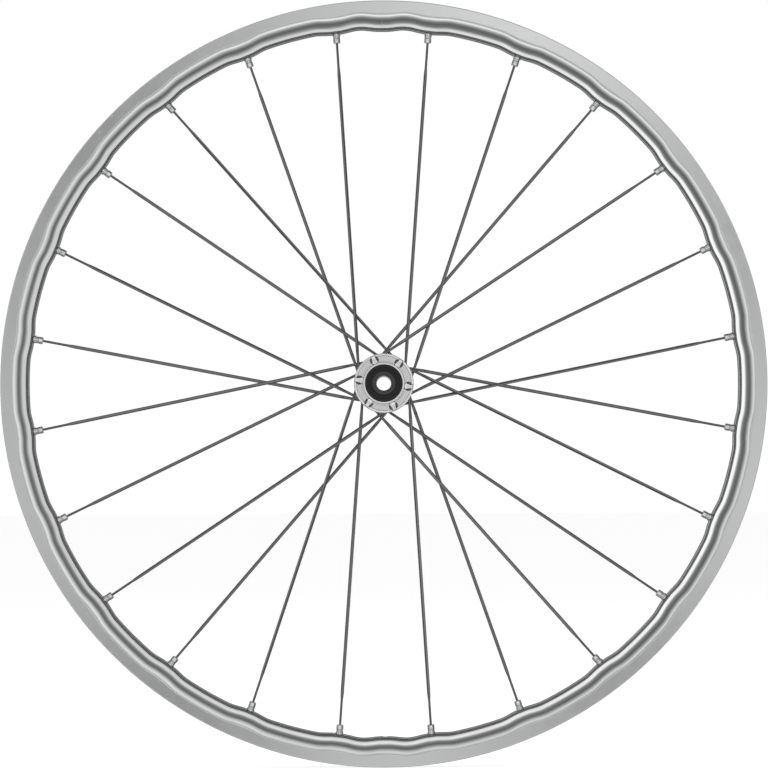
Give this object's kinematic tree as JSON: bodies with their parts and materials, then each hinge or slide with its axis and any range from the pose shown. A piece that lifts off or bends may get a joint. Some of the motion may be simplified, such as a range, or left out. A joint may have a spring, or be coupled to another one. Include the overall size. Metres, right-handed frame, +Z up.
{
  "type": "bicycle front wheel",
  "caption": "Spoked front wheel for a road bicycle: hollow alloy rim with a milled inner wave, bladed straight-pull spokes and a through-axle hub on sealed bearings.",
  "frame": {"origin": "centre of the wheel: on the spin axis, midway between the two fork-end faces and in the rim's middle plane", "axes": "+Y along the spin axis towards the rider's left (the disc side), +X forwards, +Z up; the valve hole is at the bottom"},
  "size_m": [0.6339, 0.1, 0.634],
  "materials": {
    "rim_alloy": "polished and clear anodised, turned sidewalls",
    "nipple_alloy": "bright anodised",
    "insert_alloy": "bright anodised",
    "spoke_steel": "drawn stainless steel, flattened blade",
    "hub_alloy": "polished",
    "axle_alloy": "machined",
    "bearing_steel": "ground",
    "ball_steel": "polished",
    "cage_nylon": "moulded",
    "seal_rubber": "matt",
    "cover_black": "black anodised",
    "cap_grey": "dark grey anodised",
    "o_ring_rubber": "matt"
  },
  "bodies": {
    "axle_unit": {"axle": "axle_alloy", "right_bearing_inner_race": "bearing_steel", "right_dust_cover": "cover_black", "left_bearing_inner_race": "bearing_steel", "left_dust_cover": "cover_black"},
    "wheel": {"rim": "rim_alloy", "rim_inserts": "insert_alloy", "nipples": "nipple_alloy", "spoke_01": "spoke_steel", "spoke_02": "spoke_steel", "spoke_03": "spoke_steel", "spoke_04": "spoke_steel", "spoke_05": "spoke_steel", "spoke_06": "spoke_steel", "spoke_07": "spoke_steel", "spoke_08": "spoke_steel", "spoke_09": "spoke_steel", "spoke_10": "spoke_steel", "spoke_11": "spoke_steel", "spoke_12": "spoke_steel", "spoke_13": "spoke_steel", "spoke_14": "spoke_steel", "spoke_15": "spoke_steel", "spoke_16": "spoke_steel", "spoke_17": "spoke_steel", "spoke_18": "spoke_steel", "spoke_19": "spoke_steel", "spoke_20": "spoke_steel", "spoke_21": "spoke_steel", "spoke_22": "spoke_steel", "spoke_23": "spoke_steel", "spoke_24": "spoke_steel", "hub_shell": "hub_alloy", "right_bearing_outer_race": "bearing_steel", "right_bearing_outer_seal": "seal_rubber", "right_bearing_inner_seal": "seal_rubber", "left_bearing_outer_race": "bearing_steel", "left_bearing_outer_seal": "seal_rubber", "left_bearing_inner_seal": "seal_rubber"},
    "right_ball_cage": {"right_bearing_cage": "cage_nylon", "right_bearing_balls": "ball_steel"},
    "right_cap": {"right_end_cap": "cap_grey", "right_cap_o_ring": "o_ring_rubber"},
    "left_ball_cage": {"left_bearing_cage": "cage_nylon", "left_bearing_balls": "ball_steel"},
    "left_cap": {"left_end_cap": "cap_grey", "left_cap_o_ring": "o_ring_rubber"}
  },
  "joints": [
    {"name": "wheel_spin", "type": "hinge", "parent": "axle_unit", "child": "wheel", "pos_m": [0, 0, 0], "axis": [0, 1, 0], "continuous": true},
    {"name": "right_cage_spin", "type": "hinge", "parent": "axle_unit", "child": "right_ball_cage", "pos_m": [0, -0.0375, 0], "axis": [0, 1, 0], "continuous": true},
    {"name": "left_cage_spin", "type": "hinge", "parent": "axle_unit", "child": "left_ball_cage", "pos_m": [0, 0.0375, 0], "axis": [0, 1, 0], "continuous": true},
    {"name": "right_cap_pull", "type": "slide", "parent": "axle_unit", "child": "right_cap", "axis": [0, -1, 0], "range_m": [0, 0.015]},
    {"name": "left_cap_pull", "type": "slide", "parent": "axle_unit", "child": "left_cap", "axis": [0, 1, 0], "range_m": [0, 0.015]}
  ],
  "couplings": [
    {"joint": "right_cage_spin", "follows": "wheel_spin", "ratio": 0.5912},
    {"joint": "left_cage_spin", "follows": "wheel_spin", "ratio": 0.5912}
  ]
}
